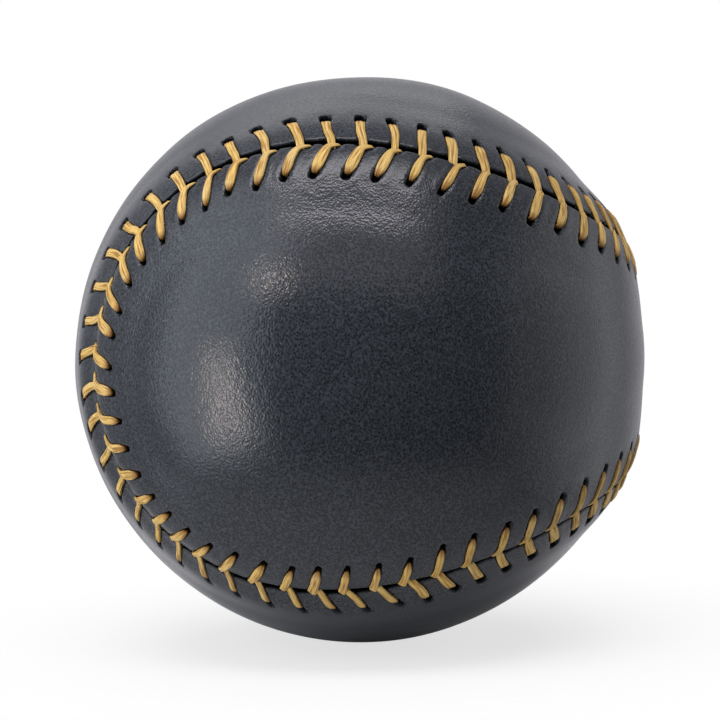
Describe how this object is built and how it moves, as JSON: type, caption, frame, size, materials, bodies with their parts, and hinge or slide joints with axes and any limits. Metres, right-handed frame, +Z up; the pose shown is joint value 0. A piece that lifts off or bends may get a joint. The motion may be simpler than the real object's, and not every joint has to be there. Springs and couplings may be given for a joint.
{
  "type": "baseball",
  "caption": "Hand-sized play ball: cork and rubber pill, wool and cotton windings, and a two-panel dark leather cover laced along one raised seam with gold thread.",
  "frame": {"origin": "centre of the ball", "axes": "+X out through the waist of the front and back panel, +Z up, -Y towards the viewer of the picture"},
  "size_m": [0.0752, 0.0742, 0.0742],
  "materials": {
    "cork": "bare granulated cork",
    "black_rubber": "moulded, matt",
    "red_rubber": "moulded, matt",
    "grey_wool": "wound yarn",
    "white_wool": "wound yarn",
    "cotton": "fine wound yarn with a coat of cement",
    "leather": "grained, satin",
    "thread": "waxed flat multi-filament"
  },
  "bodies": {
    "root": {"cork_core": "cork", "black_rubber_upper": "black_rubber", "black_rubber_lower": "black_rubber", "rubber_gasket": "red_rubber", "red_rubber_shell": "red_rubber", "grey_wool_inner": "grey_wool", "white_wool": "white_wool", "grey_wool_outer": "grey_wool", "cotton_finish": "cotton", "cover_front_back": "leather", "cover_top_bottom": "leather", "lacing_thread_one": "thread", "lacing_thread_two": "thread"}
  },
  "joints": []
}
